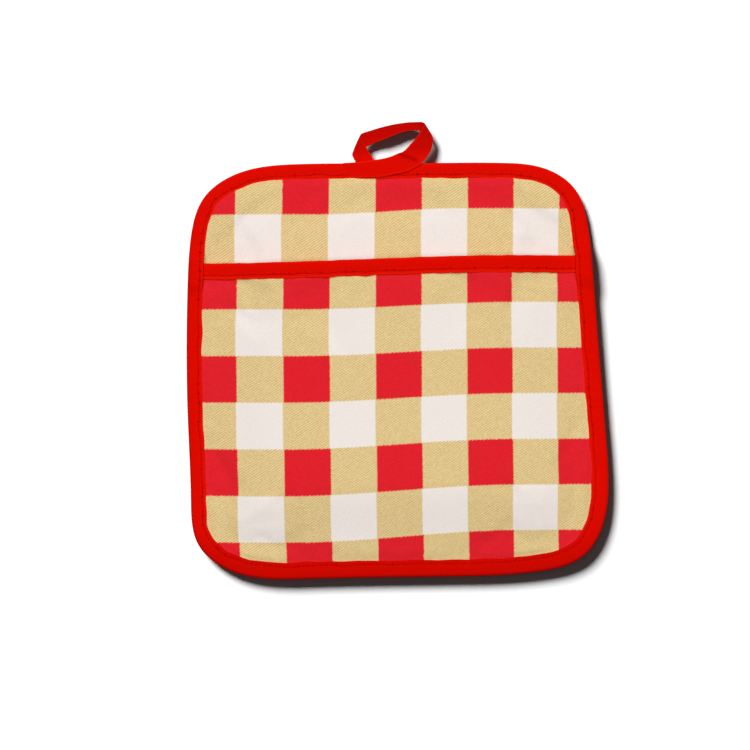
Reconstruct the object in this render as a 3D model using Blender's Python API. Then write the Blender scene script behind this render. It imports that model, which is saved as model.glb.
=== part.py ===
# Pocket pot holder: a padded square of check cloth, a pocket panel over its lower part,
# red tape round the edge and over the pocket's mouth, and the tape's tail as a hanging loop.
# It lies on its back on z = 0. Tables and sizes are in millimetres, objects in metres.

from collections import namedtuple

import bmesh
import bpy
import numpy as np
from mathutils import Vector
from mathutils.geometry import delaunay_2d_cdt

MM = 0.001

# Cloth
TAPE = 1.0  # one layer of the red tape
PANEL = 1.4  # the pocket panel
PAD_MIDDLE = 5.6  # the pad where nothing presses it
GAP = 0.3  # air between pieces that touch
BAND_GAP = 0.5  # the same, straight up, round the pocket binding, where the cloth slopes

# The seam round the edge, where the tape presses the layers together
PAD_RIM = 2.0  # the pad's thickness there
PAD_PINCH = 1.0  # how much thinner it is under the pocket binding's ends
PANEL_PINCH = 0.4  # the same for the panel
RIM_INSET = 2.6  # from the outline to the cloth's cut edge, inside the tape
TAPE_WIDTH = {"left": 7.4, "right": 8.0, "top": 7.0, "bottom": 8.2}
SIDE_WALL = 1.2  # from the outline to the inside of the tape's fold
SLOT = 2.2  # from the outline to where the fold's inside becomes flat
ROUND = 3.0  # from the outline to where its outside becomes flat
PUFF_START = 0.6  # beyond the tape's inner edge
PUFF_RUN = 38.0  # from there to the cloth's full height
BACK_STEP = 1.8  # over which the pad's back comes down beside the tape

# The pocket
HAND_ROOM = 5.4  # free height under the panel
MOUTH_LIFT = 1.2  # how much higher the panel stands at its mouth
MOUTH_RUN = 30.0  # from the mouth to where that lift has died out
MOUTH_LEFT_Y = 51.6  # the mouth's upper line climbs a little from left to right
MOUTH_RIGHT_Y = 55.5
MOUTH_CLIMB = (-90.0, 60.0)
MOUTH_ENDS = (-98.0, 91.2)  # where it runs in under the edge binding
BAND_HEIGHT_LEFT = 7.8
BAND_HEIGHT_RIGHT = 8.5
BAND_FOLD = 1.2  # the rounding where the tape turns over the panel's edge
BAND_FOLD_INSIDE = 0.9  # the same inside the fold
PANEL_BELOW_FOLD = 2.3  # from the band's upper line to the panel's cut edge
BUMP_LEVEL = 1.0  # the edge binding keeps its full height this far beyond the band
BUMP_RUN = 8.0  # over which it comes down again

# How finely the pieces are divided
STEPS = 6  # stations between two points of the outline
CLOTH_GRID = 10.0
GRID_MARGIN = 5.5  # from the tape's inner edge to the first grid points
BAND_STATIONS = 27
CORNER_ROOM = 2.0  # between the mouth's corner and the next station of the seam

# The outline, clockwise from the top left as seen from the front
Point = namedtuple("Point", "x y")
OUTLINE = [Point(*row) for row in (
    (-49.3, 99.6), (0.0, 100.0), (49.8, 100.3), (72.4, 97.2), (86.1, 87.4), (92.2, 70.0),
    (94.2, 52.4), (97.1, 15.0), (100.7, -28.8), (102.1, -50.5), (100.4, -71.1), (90.6, -89.1),
    (68.0, -97.1), (25.6, -99.5), (-45.0, -100.7), (-79.9, -96.9), (-95.9, -84.1), (-99.5, -62.0),
    (-101.1, -20.0), (-101.5, 20.0), (-100.7, 50.0), (-99.0, 67.9), (-94.0, 82.3), (-76.0, 95.5),
)]

# The loop's tape, one row for each line across it, from the sewn start to the tucked end.
# hole_ and rim_ are its two edges, both at half thickness. The hole_ edge borders the opening
# along the sewn and the near run, and is the outer one along the far run, between the folds.
# At a fold the tape turns over the line between the two points, from z to end_z. Its edges run
# slantwise over that line: slant is their way along it for each millimetre across it.
LOOP_TAPE = 1.0
LOOP_STEPS = 2  # lines across between two rows
FOLD_STEPS = 5  # lines across in the half turn of a fold
LoopRow = namedtuple("LoopRow", "hole_x hole_y hole_z rim_x rim_y rim_z")
Fold = namedtuple("Fold", "hole_x hole_y hole_z hole_end_z rim_x rim_y rim_z rim_end_z slant")
SEWN_RUN = [LoopRow(*row) for row in (
    (-15.5, 101.0, 5.5, -15.0, 93.2, 5.6),
    (-8.2, 101.9, 5.5, -7.6, 93.4, 5.6),
    (-3.2, 103.1, 5.5, -0.4, 94.8, 5.6),
    (0.6, 104.7, 5.5, 6.4, 96.6, 5.6),
    (3.3, 105.8, 5.5, 12.4, 100.4, 5.4),
    (5.6, 108.2, 5.6, 15.0, 103.6, 5.3),
    (8.6, 111.5, 5.7, 16.5, 106.3, 5.2),
    (10.8, 114.6, 5.8, 17.2, 108.6, 5.1),
)]
RIGHT_FOLD = Fold(12.5, 119.4, 5.8, 4.2, 17.3, 111.6, 5.1, 3.5, -1.0)
FAR_RUN = [LoopRow(*row) for row in (
    (9.2, 119.9, 3.8, 12.2, 115.0, 3.4),
    (6.0, 119.8, 2.7, 8.2, 116.0, 3.8),
    (1.6, 119.3, 1.8, 3.0, 115.2, 4.2),
    (-2.6, 118.6, 1.5, -1.2, 113.6, 4.3),
    (-8.0, 117.2, 1.7, -6.4, 111.5, 4.0),
    (-12.6, 115.8, 2.7, -12.2, 109.2, 3.1),
)]
LEFT_FOLD = Fold(-16.8, 114.3, 3.2, 4.8, -21.4, 103.9, 3.1, 4.6, 0.8)
NEAR_RUN = [LoopRow(*row) for row in (
    (-15.2, 108.6, 4.8, -20.9, 102.2, 4.4),
    (-13.4, 105.3, 4.5, -20.6, 101.5, 4.1),
    (-11.3, 101.9, 3.9, -20.2, 101.0, 3.6),
)]
LOOP_MIDDLE = (-2.0, 108.5)

Finish = namedtuple("Finish", "color roughness metallic")
CHECK_CLOTH = Finish((0.80, 0.52, 0.30), 0.90, 0.0)
RED_TAPE = Finish((0.68, 0.01, 0.005), 0.80, 0.0)


def clear_scene():
    for thing in list(bpy.data.objects):
        bpy.data.objects.remove(thing, do_unlink=True)


def material(name, finish):
    made = bpy.data.materials.new(name)
    made.use_nodes = True
    shader = made.node_tree.nodes["Principled BSDF"]
    shader.inputs["Base Color"].default_value = (*finish.color, 1.0)
    shader.inputs["Roughness"].default_value = finish.roughness
    shader.inputs["Metallic"].default_value = finish.metallic
    return made


def add_object(name, points_mm, faces, finish):
    """Make one object from points in millimetres, with its faces pointing out."""
    mesh = bpy.data.meshes.new(name)
    mesh.from_pydata([tuple(MM * float(value) for value in point) for point in points_mm], [], faces)
    work = bmesh.new()
    work.from_mesh(mesh)
    bmesh.ops.recalc_face_normals(work, faces=work.faces)
    work.to_mesh(mesh)
    work.free()
    mesh.materials.append(material(name, finish))
    made = bpy.data.objects.new(name, mesh)
    bpy.context.collection.objects.link(made)
    return made


def smooth_step(value):
    """Rise from 0 to 1 with level ends."""
    held = np.clip(value, 0.0, 1.0)
    return held * held * (3.0 - 2.0 * held)


def closed_curve(points, steps):
    """Points on a smooth closed cubic curve through the given ones."""
    knots = np.array(points, dtype=float)
    count = len(knots)
    spans = np.linalg.norm(np.roll(knots, -1, axis=0) - knots, axis=1)
    system = np.zeros((count, count))
    bends = np.zeros((count, 2))
    for here in range(count):
        after = (here + 1) % count
        system[here, here - 1] += spans[here - 1]
        system[here, here] += 2.0 * (spans[here - 1] + spans[here])
        system[here, after] += spans[here]
        slope_after = (knots[after] - knots[here]) / spans[here]
        slope_before = (knots[here] - knots[here - 1]) / spans[here - 1]
        bends[here] = 6.0 * (slope_after - slope_before)
    curvature = np.linalg.solve(system, bends)
    curve = []
    for here in range(count):
        after = (here + 1) % count
        span = spans[here]
        for step in range(steps):
            done = span * step / steps
            left = span - done
            ends = (curvature[here] * left ** 3 + curvature[after] * done ** 3) / (6.0 * span)
            from_here = (knots[here] / span - curvature[here] * span / 6.0) * left
            to_after = (knots[after] / span - curvature[after] * span / 6.0) * done
            curve.append(ends + from_here + to_after)
    return np.array(curve)


def open_curve(rows, steps):
    """Rows on a smooth curve that passes through the given ones."""
    knots = np.array(rows, dtype=float)
    first = 2.0 * knots[0] - knots[1]
    last = 2.0 * knots[-1] - knots[-2]
    knots = np.vstack([first, knots, last])
    gaps = np.sqrt(np.linalg.norm(np.diff(knots, axis=0), axis=1))
    times = np.concatenate([[0.0], np.cumsum(gaps)])
    curve = []
    for here in range(1, len(knots) - 2):
        t0, t1, t2, t3 = times[here - 1:here + 3]
        p0, p1, p2, p3 = knots[here - 1:here + 3]
        for t in np.linspace(t1, t2, steps, endpoint=False):
            a1 = (p0 * (t1 - t) + p1 * (t - t0)) / (t1 - t0)
            a2 = (p1 * (t2 - t) + p2 * (t - t1)) / (t2 - t1)
            a3 = (p2 * (t3 - t) + p3 * (t - t2)) / (t3 - t2)
            b1 = (a1 * (t2 - t) + a2 * (t - t0)) / (t2 - t0)
            b2 = (a2 * (t3 - t) + a3 * (t - t1)) / (t3 - t1)
            curve.append((b1 * (t2 - t) + b2 * (t - t1)) / (t2 - t1))
    curve.append(knots[-2])
    return np.array(curve)


def outward(loop):
    """Unit vectors that point away from a clockwise loop."""
    along = np.roll(loop, -1, axis=0) - np.roll(loop, 1, axis=0)
    along /= np.linalg.norm(along, axis=1)[:, None]
    return np.stack([-along[:, 1], along[:, 0]], axis=1)


def tape_width(normals):
    """Width of the tape's face, which differs a little from side to side."""
    sides = TAPE_WIDTH
    middle = sum(sides.values()) / len(sides)
    across = 0.5 * (sides["right"] - sides["left"]) * normals[:, 0]
    upward = 0.5 * (sides["top"] - sides["bottom"]) * normals[:, 1]
    return middle + across + upward


def inset(distance):
    """The outline's stations moved inwards by a distance, or by one for each station."""
    return EDGE - EDGE_OUT * np.reshape(distance, (-1, 1))


def local_tape_width(points):
    """The tape's width at the station nearest to each point."""
    offsets = points[:, None, :] - EDGE[None, :, :]
    return tape_width(EDGE_OUT)[np.linalg.norm(offsets, axis=2).argmin(axis=1)]


def depth(points):
    """Distance from each point inside to the outline."""
    ends = np.roll(EDGE_FINE, -1, axis=0) - EDGE_FINE
    offsets = points[:, None, :] - EDGE_FINE[None, :, :]
    along = np.clip((offsets * ends).sum(axis=2) / (ends * ends).sum(axis=1), 0.0, 1.0)
    return np.linalg.norm(offsets - along[..., None] * ends, axis=2).min(axis=1)


def puff(points):
    """0 at the tape, 1 where the cloth has its full height."""
    return smooth_step((depth(points) - max(TAPE_WIDTH.values()) - PUFF_START) / PUFF_RUN)


def mouth_top(x):
    low, high = MOUTH_CLIMB
    return MOUTH_LEFT_Y + (MOUTH_RIGHT_Y - MOUTH_LEFT_Y) * smooth_step((x - low) / (high - low))


def band_height(x):
    left, right = MOUTH_ENDS
    return BAND_HEIGHT_LEFT + (BAND_HEIGHT_RIGHT - BAND_HEIGHT_LEFT) * (x - left) / (right - left)


def band_middle(x):
    return mouth_top(x) - 0.5 * band_height(x)


def crossing(points):
    """1 level with the pocket binding, 0 away from it."""
    x, y = points[:, 0], points[:, 1]
    beyond = np.abs(y - band_middle(x)) - 0.5 * band_height(x) - BUMP_LEVEL
    return 1.0 - smooth_step(beyond / BUMP_RUN)


def below_mouth(points):
    """1 where the pocket panel lies in the seam, 0 above the pocket."""
    x, y = points[:, 0], points[:, 1]
    return smooth_step((band_middle(x) - y) / band_height(x) + 0.5)


def pad_top(points):
    rim = TAPE + GAP + PAD_RIM - PAD_PINCH * crossing(points)
    return rim + (PAD_MIDDLE - rim) * puff(points)


def panel_low(points):
    """The pocket panel's underside, with the band's back layer below it at the crossing."""
    crossed = crossing(points)
    band_layer = TAPE + 2.0 * BAND_GAP - GAP
    rim = TAPE + GAP + PAD_RIM - PAD_PINCH * crossed + GAP + band_layer * crossed
    near_mouth = smooth_step(1.0 - (mouth_top(points[:, 0]) - points[:, 1]) / MOUTH_RUN)
    full = PAD_MIDDLE + HAND_ROOM + MOUTH_LIFT * near_mouth
    return rim + (full - rim) * puff(points)


def panel_high(points):
    return panel_low(points) + PANEL - PANEL_PINCH * crossing(points) * (1.0 - puff(points))


def tape_under(points):
    """Underside of the edge binding's front layer."""
    plain = TAPE + GAP + PAD_RIM + GAP
    pocketed = plain + PANEL + GAP
    crossed = plain - GAP - PAD_PINCH + PANEL - PANEL_PINCH + 2.0 * TAPE + 4.0 * BAND_GAP
    level = plain + (pocketed - plain) * below_mouth(points)
    return level + (crossed - level) * crossing(points)


def is_inside(point):
    """True where the outline winds round the point."""
    turned = np.arctan2(EDGE_FINE[:, 1] - point[1], EDGE_FINE[:, 0] - point[0])
    steps = np.diff(np.append(turned, turned[0]))
    steps = (steps + np.pi) % (2.0 * np.pi) - np.pi
    return abs(steps.sum()) > np.pi


def cloth_grid():
    """Grid points of the cloth that stay clear of the tape."""
    reach = max(np.abs(EDGE).max(axis=0))
    line = np.arange(-CLOTH_GRID * (reach // CLOTH_GRID), reach, CLOTH_GRID)
    points = np.array([(x, y) for x in line for y in line if is_inside((x, y))])
    return points[depth(points) > max(TAPE_WIDTH.values()) + GRID_MARGIN]


def slab(name, rim, inner, low, high, finish):
    """A closed sheet between two heights, over the region that the rim bounds."""
    flat = np.vstack([rim, inner])
    flat_points = [Vector((float(x), float(y))) for x, y in flat]
    region = [list(range(len(rim)))]
    points, _, triangles, _, _, _ = delaunay_2d_cdt(flat_points, [], region, 1, 1e-5)
    spots = np.array([tuple(point) for point in points])
    count = len(spots)
    lower = np.column_stack([spots, low(spots)])
    upper = np.column_stack([spots, high(spots)])
    faces = [tuple(triangle) for triangle in triangles]
    faces += [tuple(index + count for index in reversed(triangle)) for triangle in triangles]
    used = {}
    for triangle in triangles:
        for start, end in zip(triangle, list(triangle[1:]) + [triangle[0]]):
            used.setdefault(frozenset((start, end)), []).append((start, end))
    for edges in used.values():
        if len(edges) == 1:
            start, end = edges[0]
            faces.append((end, start, start + count, end + count))
    return add_object(name, np.vstack([lower, upper]), faces, finish)


def swept(name, stations, closed, finish):
    """Join a row of equal cross-sections into one closed body."""
    rows, width = len(stations), len(stations[0])
    faces = []
    for row in range(rows if closed else rows - 1):
        after = (row + 1) % rows
        for spot in range(width):
            beside = (spot + 1) % width
            faces.append((row * width + spot, row * width + beside,
                          after * width + beside, after * width + spot))
    if not closed:
        faces.append(tuple(range(width)))
        faces.append(tuple((rows - 1) * width + spot for spot in range(width)))
    return add_object(name, np.vstack(stations), faces, finish)


def make_pad():
    """The padded back: flat below, crowned above, pressed thin inside the binding."""
    beside_tape = tape_width(EDGE_OUT) + GAP
    rim = inset(RIM_INSET)
    rings = [inset(beside_tape), inset(beside_tape + BACK_STEP)[::2]]
    inner = np.vstack(rings + [cloth_grid()])

    def low(points):
        turned_in = local_tape_width(points) + GAP + 0.5 * BACK_STEP
        return np.where(depth(points) < turned_in, TAPE + GAP, 0.0)

    return slab("pad", rim, inner, low, pad_top, CHECK_CLOTH)


def make_pocket():
    """The pocket panel: its rim runs in the seam, its upper edge inside the folded band."""
    left, right = MOUTH_ENDS
    across = np.linspace(left, right, BAND_STATIONS)
    mouth = np.column_stack([across, mouth_top(across) - PANEL_BELOW_FOLD])
    seam = inset(RIM_INSET)
    under = seam[:, 1] < mouth_top(seam[:, 0]) - PANEL_BELOW_FOLD - CORNER_ROOM
    first = int(np.argmax(under & ~np.roll(under, 1)))
    sewn = np.roll(seam, -first, axis=0)[:int(under.sum())]
    rim = np.vstack([mouth, sewn])
    band_foot = np.column_stack([across, mouth_top(across) - band_height(across) - BUMP_LEVEL])
    inner = [band_foot[1:-1]]
    for points in (inset(tape_width(EDGE_OUT) + GAP), cloth_grid()):
        foot = mouth_top(points[:, 0]) - band_height(points[:, 0])
        inner.append(points[points[:, 1] < foot - CORNER_ROOM - BUMP_LEVEL])
    inner = np.vstack(inner)
    return slab("pocket", rim, inner, panel_low, panel_high, CHECK_CLOTH)


def make_pocket_binding():
    """Tape folded over the pocket panel's upper edge."""
    left, right = MOUTH_ENDS
    stations = []
    for x in np.linspace(left, right, BAND_STATIONS):
        top, height = mouth_top(x), band_height(x)
        drops = [height, BAND_FOLD, 0.0, BAND_FOLD, height,
                 height, TAPE + BAND_FOLD_INSIDE, TAPE, TAPE + BAND_FOLD_INSIDE, height]
        spots = np.array([(x, top - drop) for drop in drops])
        face = np.array([(x, top - max(drop, PANEL_BELOW_FOLD)) for drop in drops])
        back = panel_low(face) - BAND_GAP
        front = panel_high(face) + BAND_GAP
        middle = 0.5 * (back + front)
        heights = [back[0] - TAPE, back[1] - TAPE, middle[2], front[3] + TAPE, front[4] + TAPE,
                   front[5], front[6], middle[7], back[8], back[9]]
        stations.append(np.column_stack([spots, heights]))
    return swept("pocket_binding", stations, False, RED_TAPE)


def make_edge_binding():
    """Tape folded over the whole edge: a back layer, a rounded side and a front layer."""
    widths = tape_width(EDGE_OUT)
    under = tape_under(inset(RIM_INSET))
    stations = []
    for spot, away, width, top in zip(EDGE, EDGE_OUT, widths, under):
        middle = 0.5 * (TAPE + top)
        outside = [(width, 0.0), (ROUND, 0.0), (0.25 * ROUND, 0.8 * TAPE), (0.0, middle),
                   (0.25 * ROUND, top + 0.2 * TAPE), (ROUND, top + TAPE), (width, top + TAPE)]
        inside = [(width, top), (SLOT, top), (SIDE_WALL, top - 0.8 * TAPE),
                  (SIDE_WALL, 1.8 * TAPE), (SLOT, TAPE), (width, TAPE)]
        stations.append([(*(spot - away * inward), height) for inward, height in outside + inside])
    return swept("edge_binding", stations, True, RED_TAPE)


def fold_rows(fold):
    """The half turn of a fold: each edge winds round its own half circle."""
    edges = [(fold.hole_x, fold.hole_y, fold.hole_z, fold.hole_end_z),
             (fold.rim_x, fold.rim_y, fold.rim_z, fold.rim_end_z)]
    along = np.array(edges[1][:2]) - np.array(edges[0][:2])
    along = along / np.linalg.norm(along)
    away = np.array([-along[1], along[0]])
    if away @ (np.array(edges[0][:2]) - LOOP_MIDDLE) < 0.0:
        away = -away
    rows = []
    for turn in np.linspace(0.0, np.pi, FOLD_STEPS + 1):
        row = []
        for x, y, start_z, end_z in edges:
            radius = 0.5 * abs(end_z - start_z)
            wound = radius * (turn - 0.5 * np.pi)
            spot = np.array([x, y]) - away * radius * (1.0 - np.sin(turn)) + along * fold.slant * wound
            height = 0.5 * (start_z + end_z) + 0.5 * (start_z - end_z) * np.cos(turn)
            row += [*spot, height]
        rows.append(row)
    return rows


def make_loop():
    """The tape's tail: a strip through the table's rows, smoothed and given its thickness."""
    table = SEWN_RUN + fold_rows(RIGHT_FOLD) + FAR_RUN + fold_rows(LEFT_FOLD) + NEAR_RUN
    points = []
    for row in open_curve(table, LOOP_STEPS):
        hole_edge, rim_edge = row[:3], row[3:]
        points += [hole_edge, 0.5 * (hole_edge + rim_edge), rim_edge]
    faces = []
    for start in range(0, len(points) - 3, 3):
        faces += [(start, start + 1, start + 4, start + 3), (start + 1, start + 2, start + 5, start + 4)]
    made = add_object("loop", points, faces, RED_TAPE)
    thickness = made.modifiers.new("Thickness", "SOLIDIFY")
    thickness.thickness = LOOP_TAPE * MM
    thickness.offset = 0.0
    return made


EDGE = closed_curve(OUTLINE, STEPS)
EDGE_OUT = outward(EDGE)
EDGE_FINE = closed_curve(OUTLINE, 3 * STEPS)

clear_scene()
make_pad()
make_pocket()
make_pocket_binding()
make_edge_binding()
make_loop()
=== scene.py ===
import math

import bmesh
import bpy
import numpy as np
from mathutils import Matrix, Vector
from mathutils.geometry import delaunay_2d_cdt


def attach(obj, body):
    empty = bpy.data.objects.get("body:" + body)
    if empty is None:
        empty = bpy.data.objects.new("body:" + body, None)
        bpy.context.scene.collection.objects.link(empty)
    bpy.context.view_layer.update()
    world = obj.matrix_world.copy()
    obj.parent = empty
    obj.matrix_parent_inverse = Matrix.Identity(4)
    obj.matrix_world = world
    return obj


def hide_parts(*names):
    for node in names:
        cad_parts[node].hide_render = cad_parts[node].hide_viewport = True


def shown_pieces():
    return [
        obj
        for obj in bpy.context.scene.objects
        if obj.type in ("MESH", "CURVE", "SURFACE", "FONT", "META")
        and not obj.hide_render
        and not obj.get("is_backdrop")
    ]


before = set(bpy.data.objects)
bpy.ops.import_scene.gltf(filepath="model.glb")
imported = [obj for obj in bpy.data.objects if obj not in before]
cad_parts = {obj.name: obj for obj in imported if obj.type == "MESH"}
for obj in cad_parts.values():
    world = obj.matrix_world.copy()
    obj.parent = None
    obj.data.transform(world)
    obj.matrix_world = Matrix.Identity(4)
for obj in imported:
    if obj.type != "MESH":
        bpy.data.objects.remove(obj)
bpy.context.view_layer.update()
print("frame loaded")

# Lengths here are millimetres and meshes are metres. The pot holder lies on its back with its
# front up, x to the right and y towards the hanging loop. Colours are 0 to 255 as on a screen.
mm = 0.001
body = "root"

shape = {
    "outline": [  # clockwise from the top left, seen from the front
        (-49.3, 99.6), (0.0, 100.0), (49.8, 100.3), (72.4, 97.2), (86.1, 87.4), (92.2, 70.0),
        (94.2, 52.4), (97.1, 15.0), (100.7, -28.8), (102.1, -50.5), (100.4, -71.1), (90.6, -89.1),
        (68.0, -97.1), (25.6, -99.5), (-45.0, -100.7), (-79.9, -96.9), (-95.9, -84.1), (-99.5, -62.0),
        (-101.1, -20.0), (-101.5, 20.0), (-100.7, 50.0), (-99.0, 67.9), (-94.0, 82.3), (-76.0, 95.5),
    ],
    "tapeFace": {"left": 8.0, "right": 8.9, "top": 7.0, "bottom": 7.8},  # width of the tape's face
    "clothEdge": 2.6,  # from the outline to the cut edge of pad and pocket, inside the tape
}

layers = {  # thicknesses from the table up, at the seam
    "tape": 0.85,
    "air": 0.06,
    "padAbovePocket": 2.75,
    "padUnderPocket": 2.6,
    "panel": 1.55,
    "tapeTop": 4.6,  # height of the edge tape's face above the pocket
    "tapeTopPocket": 6.3,
    "tapeTopCrossing": 8.0,  # where it passes over the ends of the mouth tape
    "padPinch": 0.9,  # the pad is thinner there
    "panelPinch": 0.3,
    "bumpLevel": 1.0,
    "bumpRun": 8.0,
}

puff = {
    "start": 0.6,  # beyond the tape
    "run": 38.0,  # from there to the full height
    "padMiddle": 5.6,
    "handRoom": 5.4,
    "mouthLift": 1.2,  # the panel stands higher at its mouth
    "mouthRun": 30.0,
    "pillow": 0.9,  # quick rise of the cloth beside the tape
    "pillowRun": 2.4,
}

mouth = {
    "leftY": 51.6,
    "rightY": 55.5,
    "climb": (-90.0, 60.0),
    "ends": (-98.0, 91.2),
    "heightLeft": 7.8,
    "heightRight": 8.5,
    "panelBelow": 2.3,  # from the mouth's line to the panel's cut edge inside the tape
}


# Curves and small helpers

def smoothRise(value):
    held = np.clip(value, 0.0, 1.0)
    return held * held * (3.0 - 2.0 * held)


def closedCurve(points, steps):
    # a periodic cubic spline
    knots = np.array(points, dtype=float)
    count = len(knots)
    spans = np.linalg.norm(np.roll(knots, -1, axis=0) - knots, axis=1)
    system = np.zeros((count, count))
    bends = np.zeros((count, 2))
    for here in range(count):
        after = (here + 1) % count
        system[here, here - 1] += spans[here - 1]
        system[here, here] += 2.0 * (spans[here - 1] + spans[here])
        system[here, after] += spans[here]
        slopeAfter = (knots[after] - knots[here]) / spans[here]
        slopeBefore = (knots[here] - knots[here - 1]) / spans[here - 1]
        bends[here] = 6.0 * (slopeAfter - slopeBefore)
    curvature = np.linalg.solve(system, bends)
    curve = []
    for here in range(count):
        after = (here + 1) % count
        span = spans[here]
        for step in range(steps):
            done = span * step / steps
            left = span - done
            ends = (curvature[here] * left ** 3 + curvature[after] * done ** 3) / (6.0 * span)
            fromHere = (knots[here] / span - curvature[here] * span / 6.0) * left
            toAfter = (knots[after] / span - curvature[after] * span / 6.0) * done
            curve.append(ends + fromHere + toAfter)
    return np.array(curve)


def openCurve(rows, steps):
    # a centripetal curve through all rows
    knots = np.array(rows, dtype=float)
    knots = np.vstack([2.0 * knots[0] - knots[1], knots, 2.0 * knots[-1] - knots[-2]])
    gaps = np.sqrt(np.linalg.norm(np.diff(knots, axis=0), axis=1))
    times = np.concatenate([[0.0], np.cumsum(gaps)])
    curve = []
    for here in range(1, len(knots) - 2):
        t0, t1, t2, t3 = times[here - 1:here + 3]
        p0, p1, p2, p3 = knots[here - 1:here + 3]
        for t in np.linspace(t1, t2, steps, endpoint=False):
            a1 = (p0 * (t1 - t) + p1 * (t - t0)) / (t1 - t0)
            a2 = (p1 * (t2 - t) + p2 * (t - t1)) / (t2 - t1)
            a3 = (p2 * (t3 - t) + p3 * (t - t2)) / (t3 - t2)
            b1 = (a1 * (t2 - t) + a2 * (t - t0)) / (t2 - t0)
            b2 = (a2 * (t3 - t) + a3 * (t - t1)) / (t3 - t1)
            curve.append((b1 * (t2 - t) + b2 * (t - t1)) / (t2 - t1))
    curve.append(knots[-2])
    return np.array(curve)


def lengthAlong(points, closed=False):
    line = np.vstack([points, points[:1]]) if closed else points
    return np.concatenate([[0.0], np.cumsum(np.linalg.norm(np.diff(line, axis=0), axis=1))])


def evenly(curve, count):
    # the same closed curve with its points equally far apart
    lengths = lengthAlong(curve, closed=True)
    ring = np.vstack([curve, curve[:1]])
    marks = np.linspace(0.0, lengths[-1], count, endpoint=False)
    return np.column_stack([np.interp(marks, lengths, ring[:, axis]) for axis in (0, 1)])


def outward(loop):
    along = np.roll(loop, -1, axis=0) - np.roll(loop, 1, axis=0)
    along /= np.linalg.norm(along, axis=1)[:, None]
    return np.stack([-along[:, 1], along[:, 0]], axis=1)


def faceWidth(normals):
    sides = shape["tapeFace"]
    middle = sum(sides.values()) / len(sides)
    across = 0.5 * (sides["right"] - sides["left"]) * normals[:, 0]
    upward = 0.5 * (sides["top"] - sides["bottom"]) * normals[:, 1]
    return middle + across + upward


def wander(places, slowest, fastest, seed):
    # an uneven wave of about unit size, closed over places 0 to 1
    chance = np.random.default_rng(seed)
    waves = 16
    total = np.zeros_like(places)
    for turns in chance.integers(slowest, fastest, waves):
        total += np.sin(2.0 * np.pi * (turns * places + chance.random()))
    return total / math.sqrt(0.5 * waves)


fineOutline = closedCurve(shape["outline"], 18)
fineOut = outward(fineOutline)


def edgeAt(points):
    # distance to the outline, and the tape's face width at the nearest place
    ends = np.roll(fineOutline, -1, axis=0) - fineOutline
    lengths = (ends * ends).sum(axis=1)
    widths = faceWidth(fineOut)
    depths, nearWidths = [], []
    for part in np.array_split(points, max(1, len(points) // 2000)):
        offsets = part[:, None, :] - fineOutline[None, :, :]
        along = np.clip((offsets * ends).sum(axis=2) / lengths, 0.0, 1.0)
        gaps = np.linalg.norm(offsets - along[..., None] * ends, axis=2)
        nearest = gaps.argmin(axis=1)
        depths.append(gaps[np.arange(len(part)), nearest])
        nearWidths.append(widths[nearest])
    return np.concatenate(depths), np.concatenate(nearWidths)


# Heights of the layers

def mouthLine(x):
    low, high = mouth["climb"]
    return mouth["leftY"] + (mouth["rightY"] - mouth["leftY"]) * smoothRise((x - low) / (high - low))


def bandHeight(x):
    left, right = mouth["ends"]
    share = (x - left) / (right - left)
    return mouth["heightLeft"] + (mouth["heightRight"] - mouth["heightLeft"]) * share


def crossing(points):
    # 1 beside the ends of the mouth tape, 0 away from them
    x, y = points[:, 0], points[:, 1]
    half = 0.5 * bandHeight(x)
    beyond = np.abs(y - mouthLine(x) + half) - half - layers["bumpLevel"]
    return 1.0 - smoothRise(beyond / layers["bumpRun"])


def belowMouth(points):
    x, y = points[:, 0], points[:, 1]
    return smoothRise((mouthLine(x) - 0.5 * bandHeight(x) - y) / bandHeight(x) + 0.5)


def crown(points):
    # slow rise to the full height, and the quick one beside the tape
    depths, widths = edgeAt(points)
    slow = smoothRise((depths - max(shape["tapeFace"].values()) - puff["start"]) / puff["run"])
    past = np.maximum(depths - widths + 0.4, 0.0)
    return slow, puff["pillow"] * (1.0 - np.exp(-past / puff["pillowRun"]))


def padTop(points):
    slow, quick = crown(points)
    covered, pressed = belowMouth(points), crossing(points)
    thick = layers["padAbovePocket"] + (layers["padUnderPocket"] - layers["padAbovePocket"]) * covered
    rim = layers["tape"] + layers["air"] + thick - layers["padPinch"] * pressed
    open_ = 1.0 - covered
    return rim + (puff["padMiddle"] - rim) * slow + quick * open_ * (1.0 - slow)


def panelLow(points):
    slow, quick = crown(points)
    pressed = crossing(points)
    rim = layers["tape"] + 2.0 * layers["air"] + layers["padUnderPocket"]
    rim = rim + (layers["tape"] + layers["air"] - layers["padPinch"]) * pressed
    lift = smoothRise(1.0 - (mouthLine(points[:, 0]) - points[:, 1]) / puff["mouthRun"])
    full = puff["padMiddle"] + puff["handRoom"] + puff["mouthLift"] * lift
    return rim + (full - rim) * slow + quick * (1.0 - slow)


def panelHigh(points):
    slow, _ = crown(points)
    return panelLow(points) + layers["panel"] - layers["panelPinch"] * crossing(points) * (1.0 - slow)


def tapeTop(points):
    # height of the edge tape's face
    level = layers["tapeTop"] + (layers["tapeTopPocket"] - layers["tapeTop"]) * belowMouth(points)
    return level + (layers["tapeTopCrossing"] - level) * crossing(points)


def bandFront(points):
    x, y = points[:, 0], points[:, 1]
    below = np.column_stack([x, np.minimum(y, mouthLine(x) - mouth["panelBelow"])])
    return panelHigh(below) + layers["air"] + layers["tape"]


def seenSurface(points):
    # the topmost cloth beside the edge tape
    x, y = points[:, 0], points[:, 1]
    top = mouthLine(x)
    under = np.where(y > top - bandHeight(x), bandFront(points), panelHigh(points))
    return np.where(y > top, padTop(points), under)


# Meshes

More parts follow.
